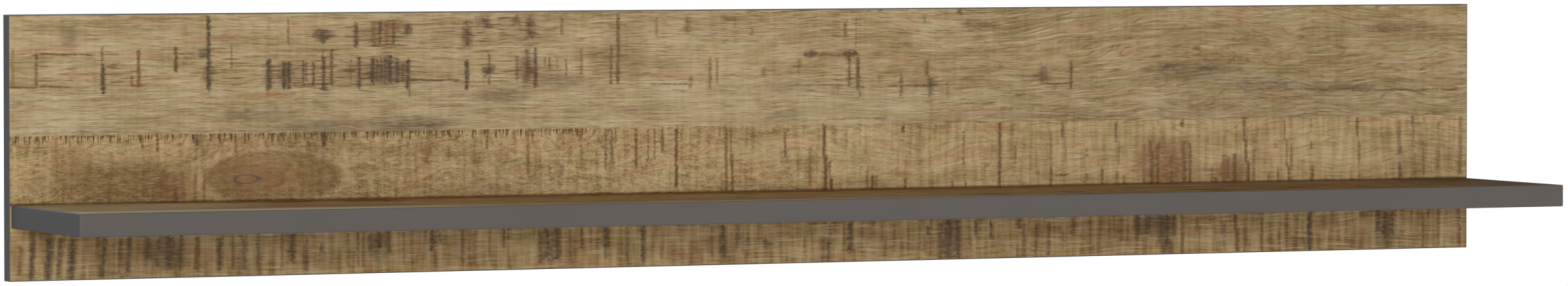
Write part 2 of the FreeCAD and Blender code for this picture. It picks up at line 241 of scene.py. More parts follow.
# Saw marks, each (u of its middle, width, top v, bottom v, strength)
sawMarks = {
    "orange": [
        (-795.5, 2, 95, 59, .5), (-752, 3, 10, -20, .4), (-98.4, 3, 11, -27, .55), (-537, 3, 56, 46, .4),
        (177, 5, 36, 10, .35), (-610, 3, -20, -55, .3), (62, 3, -26, -34, .4),
    ],
    "red": [
        (-427, 4, 119, 95, .5), (-413, 4, 120, 94, .5), (-223, 2, 80, 62, .5), (-207, 2.5, 91, 63, .5),
        (-264, 3, 11, -33, .5), (-128, 2, 11, -20, .45), (-50, 2.6, 11, -55, .7), (-27.7, 2, 11, -10, .4),
        (-20, 2, 11, -10, .4), (-646, 4, -25, -55, .35), (-640, 3, -28, -55, .35), (-624, 4, -25, -55, .4),
        (42, 3, -10, -52, .5), (115.5, 3, -40, -53, .45), (419, 4, -12, -55, .5), (444, 8, -26, -52, .35),
        (456, 9, -22, -52, .45), (512, 5, -25, -55, .5), (547, 4, -20, -55, .45), (748, 3, -15, -50, .4),
        (244, 9, 10, 4, .3), (747.5, 2.6, -87, -127, .56), (630, 7, -90, -106, .28),
    ],
    "brown": [
        (-772, 2.5, 90, 58, .55), (-669, 3, 94, 57, .6), (-675.6, 2, 69, 57, .5), (-631, 3, 95, 70, .75),
        (-574, 2, 98, 74, .4), (-515.6, 1.6, 124, 95, .4), (-470.6, 2, 93, 57, .6),
        (-450.6, 1.6, 80, 57, .35), (-305, 3, 85, 55, .5), (-275.6, 3, 85, 60, .5),
        (-245.6, 1.6, 82, 74, .4), (-241, 1.6, 84, 70, .45), (-232.7, 1.6, 80, 70, .35),
        (-228, 4, 122, 103, .4), (-175, 2.5, 93, 55, .55), (-167.4, 3, 123, 54, .7),
        (-126, 3, 122, 101, .4), (-92, 6, 122, 105, .5), (-40.6, 2, 122, 108, .3), (-22, 6, 107, 100, .4),
        (-67.7, 3, 80, 47, .5), (-60, 2, 80, 52, .4), (-88.4, 5, 62, 50, .45), (-9, 6, 68, 60, .4),
        (14, 4, 127, 124, .4), (81, 3, 115, 98, .5), (93, 1.6, 118, 88, .3), (85.5, 3, 79, 48, .55),
        (97.5, 2.5, 46, 38, .45), (29.5, 3, 78, 60, .3), (143.5, 3.5, 62, 37, .5), (195.5, 4, 50, 37, .4),
        (119, 5, 58, 50, .35), (73, 2, 52, 40, .3), (310, 5, 127, 124, .4), (693, 6, 127, 124, .5),
        (-795.5, 2, 11, 2, .5), (-774, 1.8, 11, 4, .4), (-770, 1.8, 11, 3, .45), (-738.5, 2, 11, 0, .45),
        (-690, 2, 11, 3, .45), (-665.5, 2, 11, -3, .45), (-650, 2.2, 11, -5, .55), (-642, 1.8, 11, 4, .4),
        (-586, 2, 11, 3, .5), (-582, 2, 11, 3, .45), (-570, 2, 11, -6, .5), (-560.5, 2, 11, 3, .45),
        (-532, 2, 11, -3, .5), (-520, 1.8, 11, 5, .45), (-507.7, 2, 11, 4, .45), (-307.7, 2, 11, -10, .5),
        (-279, 1.8, 11, 4, .4), (-259, 2, 11, -5, .5), (-240.6, 1.8, 11, 3, .45), (-207, 2, 11, -30, .3),
        (-181, 2.6, 10, -30, .55), (-174.4, 2, 10, -22, .5), (-170, 1.8, 10, -5, .4),
        (-148, 2.6, 10, -30, .6), (-135, 2, 10, -25, .45), (-119.6, 2.4, 10, -15, .55),
        (-104.4, 2.4, 11, -48, .8), (-57.5, 2, 11, 0, .4), (-45, 2, 11, -30, .4), (-55, 2, -36, -55, .4),
        (-43.4, 2.2, -15, -55, .65), (-699, 3, -39, -55, .5), (-612, 2.4, -27, -55, .45),
        (-602, 2.4, -27, -55, .45), (14.5, 2, 3, -20, .6), (57.5, 2.4, 11, -22, .85),
        (59.3, 2.6, -20, -55, .9), (64, 2, -26, -42, .5), (65.5, 2.6, -42, -55, .8),
        (105.5, 2.4, -33, -55, .55), (111.5, 2.4, -40, -55, .8), (145.5, 2.6, 11, 0, .7),
        (148, 2.2, -44, -55, .6), (213.5, 2.2, 2, -32, .5), (254, 2.4, 11, -55, .8), (269, 5, 10, -30, .3),
        (272, 2, -12, -32, .5), (216, 2, -47, -55, .5), (201, 2, -47, -55, .5), (298, 4, 4, -2, .3),
        (298, 4, -10, -14, .3), (298, 4, -38, -44, .35), (312.5, 3, 0, -55, .4), (312.5, 2.4, -34, -55, .4),
        (240, 4, -29, -36, .4), (371, 2, -38, -55, .6), (396, 2, -45, -55, .5), (353, 5, -17, -20, .5),
        (353.5, 6, -22, -26, .5), (354, 2, -42, -48, .5), (426.5, 3, -10, -24, .7),
        (428.5, 3, -22, -55, .8), (436.5, 4, -10, -20, .55), (435, 3, -14, -55, .75),
        (451, 3, -25, -55, .55), (465, 4, -12, -30, .6), (466, 4, -28, -55, .75),
        (472.5, 2.6, -12, -55, .7), (463.5, 4, 10, 4, .65), (498, 2.4, -37, -55, .45),
        (503, 4, -49, -55, .65), (516.5, 2.6, -28, -50, .55), (524.5, 3, -25, -55, .8),
        (535.5, 2.2, 11, -12, .65), (537.8, 2.4, -10, -34, .8), (540.5, 3, -32, -55, .85),
        (564, 2, -45, -55, .5), (575, 2, -40, -55, .5), (583, 2.2, 10, -14, .45),
        (585.5, 2.2, -12, -40, .55), (588, 2.4, -38, -55, .6), (591, 2, -18, -42, .45),
        (572.5, 3.4, -14, -20, .4), (614, 2.6, 10, 0, .4), (614.5, 3, -14, -22, .55),
        (615.5, 3.4, -40, -55, .6), (608, 6, -44, -48, .35), (640, 7, -18, -22, .3),
        (668.5, 2.2, 10, -8, .65), (671, 3.2, -14, -38, .55), (671, 2.2, -36, -55, .35),
        (700, 5, -5, -38, .3), (748, 2.6, 10, 5, .45), (765.5, 4, 5, -20, .3), (765.5, 4.4, -22, -46, .45),
        (-788, 4, -92, -124, .45), (-609.5, 6, -87, -122, .5), (-522, 3, -88, -120, .4),
        (-454, 3, -88, -120, .36), (-395.6, 2.6, -88, -120, .32), (-322, 2.6, -90, -122, .32),
        (-305, 2.4, -88, -118, .32), (-138.4, 2, -88, -125, .32), (-120.6, 2.6, -88, -120, .32),
        (-32, 3, -88, -118, .32), (36, 2.4, -102, -116, .4), (80, 2, -90, -112, .32),
        (355, 4, -90, -98, .28), (391, 5, -97, -107, .32), (464, 4.6, -87, -127, .4),
        (496, 4, -87, -96, .32), (481, 2.4, -88, -104, .48), (537.5, 3, -100, -125, .36),
        (556.5, 3, -90, -127, .44), (765.5, 4, -87, -127, .36), (791, 2.8, -87, -100, .48),
        (791.5, 3, -103, -127, .52), (753.5, 4, -88, -93, .48),
    ],
    "purple": [
        (-748.4, 4, -87, -127, .6), (-659, 8, -87, -110, .55), (-649, 8, -87, -116, .4),
        (-637.5, 11, -87, -120, .62), (-626, 8, -87, -118, .5), (-430, 8, -87, -105, .6),
        (-421, 10, -87, -103, .7), (-412, 6, -87, -106, .55), (-251, 5, -87, -122, .5),
        (-243, 10, -87, -117, .6), (-233, 9, -87, -118, .6), (188, 8, -87, -127, .5),
        (197, 10, -87, -127, .65), (207, 8, -87, -127, .55), (277, 8, -87, -98, .6),
        (413, 9, -87, -109, .5), (423, 8, -87, -106, .5), (438, 6, -87, -115, .5), (446, 9, -87, -119, .65),
        (454, 5, -87, -109, .5), (694, 6, -87, -109, .55), (702, 9, -87, -115, .7), (710, 6, -87, -111, .6),
        (-706, 2.4, 97, 76, .45), (-705, 4.4, 77, 52, .75), (-479, 3, 86, 52, .7), (-445, 4, 118, 93, .7),
        (-420, 3, 119, 97, .55), (-406, 3, 117, 93, .6), (-402, 4, 81, 58, .7), (-396, 3.6, 80, 60, .6),
        (-391, 4, 81, 52, .75), (-389, 2, 54, 44, .35), (-328, 10, 111, 93, .6), (-308, 7, 122, 111, .6),
        (-277, 10, 122, 113, .55), (-262, 10, 123, 99, .55), (-265, 10, 90, 56, .45),
        (-256, 3, 90, 52, .75), (169.5, 3, 122, 113, .4), (172, 4, 75, 58, .5), (176, 6, 58, 38, .5),
        (303, 10, 70, 50, .35), (335.5, 3, 74, 46, .55), (43, 4, 127, 125, .5), (329, 2.4, -4, -32, .35),
        (325.5, 2.6, 10, -6, .65), (387, 2.2, 10, -12, .6), (390, 3, -10, -36, .35),
        (388.5, 2.4, -40, -50, .5), (719, 4, 6, -20, .35), (719.5, 5, -20, -30, .6),
        (720, 4.4, -38, -55, .6), (734.5, 3, 10, 2, .55), (735.5, 3.4, 2, -26, .4), (792, 5, 10, -52, .4),
        (-631, 4, -40, -52, .5), (-687.7, 3, -88, -122, .4), (-572.7, 4, -88, -120, .44),
        (-497, 4, -88, -124, .44), (-443.5, 3, -88, -122, .4), (-438, 3, -88, -122, .4),
        (-290, 3, -87, -106, .56), (-219, 4, -88, -122, .44), (64, 3.6, -88, -108, .44),
        (62.5, 4, -106, -127, .52), (227.5, 3, -87, -104, .6), (244.5, 3, -90, -108, .56),
        (247, 14, -92, -94.5, .32), (295.5, 3, -92, -127, .4), (326.5, 3, -100, -120, .36),
        (512, 5, -95, -118, .44), (513, 4, -116, -127, .28), (525.5, 3.4, -87, -104, .56),
        (528, 4.4, -102, -127, .56), (586, 3, -87, -112, .32), (597, 4, -90, -97, .4),
        (612, 4.6, -87, -127, .76),
    ],
    "blue": [
        (-597.5, 3.4, 125, 53, .75), (-535.6, 4.4, 84, 53, .75), (-535.6, 3, 125, 86, .2),
        (-520, 3, 80, 53, .8), (-515, 3, 80, 53, .8), (-500, 2, 80, 57, .6), (-497, 1.6, 80, 60, .5),
        (-489.4, 2, 80, 57, .6), (-479.5, 5, 109, 96, .5), (-442, 3, 85, 53, .65), (-428, 3, 84, 58, .75),
        (-423, 2, 83, 60, .45), (-419, 2, 84, 60, .5), (-415, 2, 84, 59, .55), (-410, 4.4, 84, 57, .8),
        (-391, 8, 116, 104, .65), (-328, 9, 119, 114, .55), (-329, 4, 81, 50, .75),
        (-307.5, 8, 72, 64, .75), (-92, 3, 92, 88, .4), (95, 3, 79, 44, .75), (-22, 15, 127, 124.5, .6),
        (107, 4, 127, 124, .5), (120, 5, 127, 124.5, .7), (150, 4, 127, 125, .5), (208, 6, 127, 121, .6),
        (340, 6, 127, 125, .5), (-610, 8, 11, 0, .55), (-525.6, 3, 11, 2, .5), (-478.4, 4, 11, -4, .8),
        (737, 5, -26, -55, .35), (-775.6, 4.4, -87, -127, .75), (-759, 7, -87, -127, .8),
        (-736.3, 7, -87, -127, .7), (-704, 5, -87, -127, .7), (-678.4, 6, -87, -124, .55),
        (-586.5, 7, -89, -122, .6), (-562, 7, -87, -122, .44), (-547, 4, -87, -122, .44),
        (-512, 7, -87, -115, .64), (-481, 4, -97, -108, .48), (-366, 4, -87, -108, .64),
        (-357, 3, -87, -100, .4), (-333, 5, -88, -120, .4), (-207, 4, -87, -107, .48),
        (-180.5, 7, -87, -108, .68), (-181, 4, -108, -119, .4), (-158, 6, -88, -122, .4),
        (-141, 3.4, -87, -124, .6), (-66, 4, -88, -122, .4), (-53, 6, -87, -120, .6),
        (-38, 5, -87, -112, .48), (86.5, 5.4, -87, -117, .68), (173.5, 3.4, -92, -103, .6),
        (170, 6, -102, -122, .32), (282, 5, -92, -127, .4), (310, 5, -90, -126, .48),
        (337.5, 6, -87, -106, .4),
    ],
}

# Streaks along the grain, each (v of its middle, thickness, left u, right u, strength)
grainStreaks = {
    "brown": [
        (95, 1.4, -430, -392, .7), (76, 1.2, -560, -520, .5), (104, 1.2, -500, -450, .45),
        (92, 1.2, -420, -330, .4), (89, 1.6, -776, -713, .7), (58, 1.6, -800, -738, .55),
        (58.5, 1.8, -676, -664, .6), (84, 1.6, -631, -607, .4), (88, 1.6, -630, -610, .45),
        (79, 1.6, -630, -614, .4), (57.3, 1.8, -512, -485, .6), (87.5, 1.6, -422, -400, .45),
        (58.3, 1.6, -345, -293, .45), (110, 1.6, -176, -166, .5), (89, 1.6, -176, -166, .5),
        (65, 1.8, -178, -165, .5), (54, 1.8, -133, -90, .5), (45, 1.8, -800, -650, .3),
        (13.8, 1.6, -780, -560, .3), (57, 1.6, 68, 97, .5), (51, 1.6, 34, 90, .45), (49, 2, 128, 184, .55),
        (17, 1.6, 60, 130, .4), (33, 2, 169, 177, .5), (30.5, 1.6, 205, 250, .4), (39, 3, 270, 284, .5),
        (57, 1.6, 276, 312, .45), (50, 1.6, 300, 338, .5), (64, 1.6, 312, 337, .4),
        (-43.5, 2.4, 318, 333, .6), (71.5, 1.8, 485, 541, .4), (23, 1.8, 490, 504, .4),
        (41, 1.6, 540, 600, .45), (96.5, 1.8, 337, 362, .45), (11, 1.8, 531, 542, .55),
        (-115, 1.6, 76, 94, .5), (14.5, 1.8, 690, 716, .4), (13, 2, 748, 768, .45), (30, 4, 730, 738, .4),
        (78.5, 1.8, 606, 628, .4),
    ],
    "red": [
        (81.5, 4.4, 36, 95, .7), (48.5, 2, -537, -506, .4), (-42, 3, 40, 46, .35),
    ],
    "purple": [
        (82.5, 8, 36, 49, .75), (82.5, 8, 80, 96, .65), (60.5, 2, -401, -334, .62),
        (-104.5, 1.6, -520, -506, .5), (50, 2.4, 160, 182, .5),
    ],
    "blue": [
        (87, 4, -607, -598, .45), (66, 7, 438, 456, .5), (62.5, 3, 480, 500, .4),
        (47.5, 1.8, 500, 600, .35), (40.5, 2, 600, 690, .5), (38.5, 2, 660, 792, .55),
        (48, 2.4, 88, 104, .5),
    ],
}

# Soft stains, each (u, v, half length, half height, strength). The brown one at (-778, -106) is painted
# shade under the shelf's left end.
softStains = {
    "orange": [
        (-540, 47, 30, 4, .55), (-735, -12, 22, 20, .25), (250, 4, 22, 7, .25),
    ],
    "red": [
        (-566, -32, 50, 20, .3), (-636, -42, 26, 20, .55), (-410, 114, 22, 6, .6), (-560, 0, 80, 12, .25),
        (-329, 104, 7, 14, .35), (-265, 70, 12, 14, .4), (-590, -30, 120, 30, .2), (-740, -10, 30, 8, .25),
        (443, -34, 38, 27, .8), (521, -43, 19, 17, .72), (-104, -117, 14, 11, .45), (-83, -117, 8, 11, .4),
        (58, -108, 9, 5, .5), (297, -102, 8, 10, .4), (672, -115, 14, 14, .35), (632, -98, 16, 8, .35),
    ],
    "brown": [
        (-690, -36, 76, 28, .6), (-480, -2, 60, 14, .3), (-478, -32, 26, 24, .3), (-325, -50, 80, 9, .35),
        (-750, -35, 40, 18, .2), (-390, -25, 120, 34, .16), (-700, -108, 110, 26, .22),
        # Painted shade under the shelf's left end: the first patch on this line
        (-778, -106, 40, 30, .35), (-520, -112, 90, 20, .14), (-340, -112, 60, 20, .12),
        (-465, 69, 90, 18, .28), (-420, 105, 34, 13, .28), (-280, 105, 60, 16, .22),
        (-262, 70, 36, 16, .25), (-160, 88, 26, 34, .2), (-60, 108, 50, 12, .16), (600, 85, 200, 40, .14),
        (600, 30, 200, 26, .14), (248, 47, 7, 4, .4), (256, 68, 5, 5, .4), (116, 82, 8, 4, .35),
        (145, 93, 5, 2, .45), (100, -47, 34, 8, .2), (110, -99, 26, 5, .2), (380, -108, 34, 14, .2),
        (740, -108, 22, 18, .2),
    ],
    "purple": [
        (-416, 70, 22, 16, .45), (-518, 67, 12, 15, .4), (-535, 67, 8, 15, .35), (-597, 68, 6, 16, .4),
        (-478, 54, 4, 4, .5), (-480, 106, 13, 7, .75), (-305, 71, 8, 5, .6), (-313, 118, 9, 4, .5),
        (-262, 70, 6, 6, .55), (178, 52, 7, 6, .35), (303, 58, 12, 10, .3),
    ],
    "blue": [
        (-420, -109, 14, 9, .35), (-642, -103, 26, 18, .25), (198, -104, 16, 30, .25),
        (-480, 16, 62, 9, .4), (-390, 18, 52, 9, .45), (-545, 27, 44, 7, .3), (-603, 88, 7, 5, .5),
        (-290, 43, 34, 8, .3), (-225, 58, 28, 7, .3), (-738, 108, 12, 16, .25), (15, 50, 24, 5, .25),
        (15, 22, 24, 4, .25), (232, 110, 22, 6, .35), (232, 97, 10, 4, .35), (480, 60, 60, 12, .35),
        (560, 46, 60, 9, .3), (640, 42, 46, 7, .3), (710, 104, 48, 5, .3), (535, 93, 22, 3, .3),
        (-240, -117, 12, 9, .35), (432, -98, 26, 14, .4), (446, -120, 9, 8, .4), (702, -112, 16, 16, .4),
        (677, -91, 6, 4, .4), (-5, -108, 5, 5, .5),
    ],
}

# Places where the dark dashes lie close together, each (u, v, half length, half height, strength)
busyPatches = [
    (-700, 72, 60, 16, .5), (-580, 76, 34, 24, .6), (-465, 68, 95, 20, .9), (-420, 106, 36, 16, .9),
    (-300, 106, 60, 20, .8), (-275, 68, 45, 18, .6), (-165, 85, 60, 38, .5), (-60, 108, 60, 16, .5),
    (40, 108, 90, 20, .35), (60, 55, 50, 20, .45), (160, 50, 40, 18, .4), (440, -36, 40, 20, .4),
    (750, -20, 50, 36, .35), (-640, -108, 210, 28, .4),
]


def fillRamp(ramp, stops):
    stops = [(at, linear(value) if isinstance(value, str) else value) for at, value in stops]
    for element, (at, value) in zip(ramp.elements, (stops[0], stops[-1])):
        element.position = at
        element.color = value
    for at, value in stops[1:-1]:
        ramp.elements.new(at).color = value


def newGroup(name, inlets, outlets):
    tree = bpy.data.node_groups.new(name, "ShaderNodeTree")
    for socket, kind in inlets.items():
        tree.interface.new_socket(socket, in_out="INPUT", socket_type="NodeSocket" + kind)
    for socket, kind in outlets.items():
        tree.interface.new_socket(socket, in_out="OUTPUT", socket_type="NodeSocket" + kind)
    add = partial(addNode, tree)
    return tree, add, add("NodeGroupInput").outputs


def halfBase(mark, soft):
    return 0.75 * mark[1] + soft       # a mark's soft sides reach further than its width


def inLayers(marks, soft):
    # Marks that overlap go into different layers
    def endOf(layer):
        last = layer[-1][0]
        return last[0] + halfBase(last, soft) + boardPrint["markGap"]

    tones = list(stainTones)
    layers = []
    for mark, tone in sorted((mark, tones.index(tone)) for tone, rows in marks.items() for mark in rows):
        clear = [layer for layer in layers if endOf(layer) < mark[0] - halfBase(mark, soft)]
        if clear:
            clear[0].append((mark, tone))
        else:
            layers.append([(mark, tone)])
    return layers


def inRamps(layer, longest):
    # A ramp holds 32 stops, and it is kept short enough to draw its marks sharply
    mostMarks = 10
    groups = [[]]
    for mark, tone in layer:
        group = groups[-1]
        if len(group) == mostMarks or group and mark[0] - group[0][0][0] > longest:
            groups.append([])
        groups[-1].append((mark, tone))
    return groups


def makeMarkLayer(name, layer, ends, fadeOut, soft, longest):
    # Every mark is a soft bar across Run, broken by Dashes, with a brown halo round its dark middle.
    # Cross is the place along the bar, within `ends`. A ramp holds the mark: red is its strength, green and
    # blue its high and low end, and alpha its tone.
    tones = list(stainTones)
    span = ends[1] - ends[0]
    tree, add, inlet = newGroup(name, {"Colour": "Color", "Run": "Float", "Cross": "Float",
                                       "Dashes": "Float", "Halo": "Float"}, {"Colour": "Color"})
    data = toneData = None
    for group in inRamps(layer, longest):
        firstMark, lastMark = group[0][0], group[-1][0]
        first = firstMark[0] - halfBase(firstMark, soft) - 0.3
        last = lastMark[0] + halfBase(lastMark, soft) + 0.3
        share = add("MapRange", {0: inlet["Run"], 1: first, 2: last})
        ramp = add("ValToRGB", {"Fac": share})
        stops = [(0, (0, 0, 0, 0))]
        for mark, tone in group:
            high, low = max(mark[2:4]), min(mark[2:4])
            held = ((high - ends[0]) / span, (low - ends[0]) / span, (tone + 0.5) / len(tones))
            half = halfBase(mark, soft)
            for shift, strength in ((-half, 0), (0, mark[4]), (half, 0)):
                stops.append(((mark[0] + shift - first) / (last - first), (strength,) + held))
        fillRamp(ramp.color_ramp, stops + [(1, (0, 0, 0, 0))])
        if data is None:
            data = ramp.outputs["Color"]
            toneData = ramp.outputs["Alpha"]
        else:
            data = add("Mix", {"Factor": 1, "A": data, "B": ramp.outputs["Color"]}, blend_type="ADD")
            toneData = add("Math", {0: toneData, 1: ramp.outputs["Alpha"]}, "ADD")
    parts = add("SeparateColor", {0: data})
    cross = add("MapRange", {0: inlet["Cross"], 1: ends[0], 2: ends[1]})
    high = add("Math", {0: parts.outputs["Green"], 1: cross}, "SUBTRACT")
    low = add("Math", {0: cross, 1: parts.outputs["Blue"]}, "SUBTRACT")
    nearest = add("Math", {0: high, 1: low}, "MINIMUM")
    fade = fadeOut / span
    inside = add("MapRange", {0: nearest, 1: -fade / 2, 2: fade / 2}, **eased)
    inside = add("Math", {0: inside, 1: parts.outputs["Red"]}, "MULTIPLY")
    core = add("Math", {0: inside, 1: inlet["Dashes"]}, "MULTIPLY")
    core = add("MapRange", {0: core, 1: 0.1, 2: 0.86, 4: 0.95})
    halo = add("Math", {0: inside, 1: inlet["Halo"]}, "MULTIPLY")
    halo = add("MapRange", {0: halo, 1: 0.03, 2: 0.9, 4: 0.55}, **eased)
    tint = add("ValToRGB", {"Fac": toneData})
    tint.color_ramp.interpolation = "CONSTANT"
    fillRamp(tint.color_ramp, [(i / len(tones), stainTones[t]) for i, t in enumerate(tones)])
    marked = add("Mix", {"Factor": halo, "A": inlet["Colour"], "B": stainTones["brown"]})
    marked = add("Mix", {"Factor": core, "A": marked, "B": tint})
    add("NodeGroupOutput", {"Colour": marked})
    return tree


def awayFrom(add, place, u, v, halfLength, halfHeight):
    # 0 in the middle of an ellipse and 1 on its rim
    scaled = add("VectorMath", {0: place, 1: (1 / halfLength, 1 / halfHeight, 0),
                                2: (-u / halfLength, -v / halfHeight, 0)}, "MULTIPLY_ADD")
    return add("VectorMath", {0: scaled}, "LENGTH")


def addPatches(add, place, patches):
    covered = 0
    for *ellipse, strength in patches:
        away = awayFrom(add, place, *ellipse)
        amount = add("MapRange", {0: away, 1: 1.25, 2: 0.45, 4: strength}, **eased)
        covered = add("Math", {0: covered, 1: amount}, "MAXIMUM")
    return covered


def makeStainLayer(tone, stains):
    tree, add, inlet = newGroup(tone + "Stains", {"Colour": "Color", "Place": "Vector", "Speckle": "Float"},
                                {"Colour": "Color"})
    covered = addPatches(add, inlet["Place"], stains)
    covered = add("Math", {0: covered, 1: inlet["Speckle"]}, "MULTIPLY", use_clamp=True)
    stained = add("Mix", {"Factor": covered, "A": inlet["Colour"], "B": stainTones[tone]})
    add("NodeGroupOutput", {"Colour": stained})
    return tree


def makeKnot(name, knot):
    tree, add, inlet = newGroup(name + "Knot", {"Colour": "Color", "Place": "Vector"}, {"Colour": "Color"})
    reach = knot["rings"][-1][0]
    away = awayFrom(add, inlet["Place"], *knot["at"], *knot["half"])
    share = add("MapRange", {0: away, 2: reach})
    ramp = add("ValToRGB", {"Fac": share})
    tones = dict(stainTones, pale=boardPrint["pale"])
    stops = [(at / reach, linear(tones[tone])[:3] + (strength,)) for at, tone, strength in knot["rings"]]
    fillRamp(ramp.color_ramp, stops)
    ringed = add("Mix", {"Factor": ramp.outputs["Alpha"], "A": inlet["Colour"], "B": ramp})
    add("NodeGroupOutput", {"Colour": ringed})
    return tree


def flatNoise(add, place, length, pitch, detail=2, **extra):
    scaled = add("VectorMath", {0: place, 1: (1 / length, 1 / pitch, 0)}, "MULTIPLY")
    return add("TexNoise", {"Vector": scaled, "Scale": 1, "Detail": detail, **extra},
               noise_dimensions="2D")


def makeGrain(look):
    tree, add, inlet = newGroup("boardGrain", {"Place": "Vector", "Busy": "Float"},
                                {"Colour": "Color", "Relief": "Float"})
    place = inlet["Place"]
    at = add("SeparateXYZ", {0: place})
    u, v = at.outputs["X"], at.outputs["Y"]
    brown = stainTones["brown"]

    # Which board of the print: a tint and a seed of its own, with an uneven edge
    edge = flatNoise(add, place, 22, 4000, 3)    # even across the boards
    edge = add("MapRange", {0: edge, 1: 0.25, 2: 0.75, 3: -look["edgeWander"], 4: look["edgeWander"]})
    edge = add("Math", {0: v, 1: edge}, "ADD")
    edge = add("MapRange", {0: edge, 1: -look["half"], 2: look["half"]})
    board = add("ValToRGB", {"Fac": edge})
    board.color_ramp.interpolation = "CONSTANT"
    boards = len(look["boardTints"])
    stops = [(0, linear(look["boardTints"][0])[:3] + (0,))]
    for i, where in enumerate(look["boardEdges"]):
        share = (where + look["half"]) / (2 * look["half"])
        stops.append((share, linear(look["boardTints"][i + 1])[:3] + ((i + 1) / boards,)))
    fillRamp(board.color_ramp, stops)
    which = board.outputs["Alpha"]     # 0 for the lowest board, then 0.25, 0.5 and 0.75
    seed = add("Math", {0: which, 1: look["boardStep"], 2: u}, "MULTIPLY_ADD")
    curlyBoard = add("Math", {0: which, 1: 0.25, 2: 0.05}, "COMPARE")

    # The grain runs along u, wanders more to the right, and climbs on the top board's right half
    rightWard = add("MapRange", {0: u, 1: -150, 2: 350, 3: 0.25, 4: 1})
    wander = flatNoise(add, place, *look["wanderSize"], 1.5)
    wander = add("MapRange", {0: wander, 1: 0.25, 2: 0.75, 3: -look["grainWander"], 4: look["grainWander"]})
    curlWeight = add("Math", {0: 1.3, 1: rightWard}, "SUBTRACT")
    curlWeight = add("Math", {0: curlWeight, 1: curlyBoard}, "MULTIPLY")
    swirl = add("Math", {0: curlWeight, 1: look["swirl"]}, "MULTIPLY")
    swirl = add("Math", {0: swirl, 1: rightWard}, "MAXIMUM")
    wander = add("Math", {0: wander, 1: swirl}, "MULTIPLY")
    climb = add("MapRange", {0: u, 1: look["riseFrom"], 2: look["riseTo"], 4: look["rise"]}, **eased)
    upper = add("MapRange", {0: v, 1: 20, 2: 86})
    climb = add("Math", {0: climb, 1: upper}, "MULTIPLY")
    vGrain = add("Math", {0: v, 1: wander}, "ADD")
    vGrain = add("Math", {0: vGrain, 1: climb}, "SUBTRACT")
    grain = add("CombineXYZ", {"X": seed, "Y": vGrain})

    # Tone: clouds, long streaks, fine fibres, faint bars across and, on one board, short curly figure
    cloud = flatNoise(add, grain, *look["cloudSize"], 3)
    streak = flatNoise(add, grain, 75, look["streakPitch"], 3, Roughness=0.6)
    fibre = flatNoise(add, grain, 10, look["fibrePitch"])
    across = flatNoise(add, place, 6, 50, 1.3)
    acrossWeight = add("MapRange", {0: which, 2: 0.5, 3: 1, 4: 0.22})
    across = add("Math", {0: across, 1: 0.47}, "SUBTRACT")
    across = add("Math", {0: across, 1: acrossWeight}, "MULTIPLY")
    curl = flatNoise(add, place, *look["curlSize"], Distortion=1.3)
    flame = flatNoise(add, place, *look["flameSize"], 2.5, Roughness=0.55)
    flame = add("Math", {0: flame, 1: look["flames"]}, "MULTIPLY")
    flame = add("Math", {0: flame, 1: 0.5}, "PINGPONG")
    curl = add("Math", {0: flame, 1: 0.5, 2: curl}, "MULTIPLY_ADD")
    curl = add("Math", {0: curl, 1: 0.625}, "SUBTRACT")
    curl = add("Math", {0: curl, 1: curlWeight}, "MULTIPLY")
    smooth = add("Math", {0: curlyBoard, 1: -0.35, 2: 1}, "MULTIPLY_ADD")
    fine = add("Math", {0: streak, 1: 0.7, 2: -0.575}, "MULTIPLY_ADD")
    fine = add("Math", {0: fibre, 1: 0.45, 2: fine}, "MULTIPLY_ADD")
    tone = add("Math", {0: cloud, 1: 0.7, 2: 0.225}, "MULTIPLY_ADD")
    tone = add("Math", {0: fine, 1: smooth, 2: tone}, "MULTIPLY_ADD")
    tone = add("Math", {0: across, 1: tone}, "ADD")
    tone = add("Math", {0: curl, 1: 0.9, 2: tone}, "MULTIPLY_ADD")
    shade = add("ValToRGB", {"Fac": tone})
    fillRamp(shade.color_ramp, [(0.2, look["deep"]), (0.58, look["middle"]), (1, look["pale"])])
    colour = add("Mix", {"Factor": 1, "A": shade, "B": board.outputs["Color"]}, blend_type="MULTIPLY")
    aged = add("Math", {0: which, 1: 0.4}, "GREATER_THAN")
    aged = add("Math", {0: aged, 1: rightWard}, "MULTIPLY")
    colour = add("Mix", {"Factor": aged, "A": colour, "B": look["agedTint"]}, blend_type="MULTIPLY")
    patch = flatNoise(add, grain, *look["patchSize"])
    patch = add("ValToRGB", {"Fac": patch})
    fillRamp(patch.color_ramp, [(0.36, look["greenish"]), (0.5, "#FFFFFF"), (0.64, look["pinkish"])])
    colour = add("Mix", {"Factor": 1, "A": colour, "B": patch}, blend_type="MULTIPLY")

    # Short dark dashes along the grain, closer and darker where the print is busy
    pores = flatNoise(add, grain, *look["poreSize"])
    poreShare = add("MapRange", {0: which, 2: 0.5, 3: 0.4})
    pores = add("Math", {0: inlet["Busy"], 1: 0.07, 2: pores}, "MULTIPLY_ADD")
    poreWeight = add("Math", {0: inlet["Busy"], 1: 0.45, 2: 0.42}, "MULTIPLY_ADD")
    poreWeight = add("Math", {0: poreWeight, 1: poreShare}, "MULTIPLY")
    pores = add("MapRange", {0: pores, 1: 0.57, 2: 0.7, 4: poreWeight}, **eased)
    colour = add("Mix", {"Factor": pores, "A": colour, "B": brown})

    # Growth rings, long wavy lines that get stronger to the right
    rings = flatNoise(add, grain, *look["ringSize"], 2.5, Roughness=0.45)
    rings = add("Math", {0: rings, 1: look["rings"]}, "MULTIPLY")
    rings = add("Math", {0: rings, 1: 0.5}, "PINGPONG")
    ringWeight = add("Math", {0: rightWard, 1: look["ringStrength"]}, "MULTIPLY")
    rings = add("MapRange", {0: rings, 1: 0.12, 2: 0, 4: ringWeight})
    colour = add("Mix", {"Factor": rings, "A": colour, "B": brown})

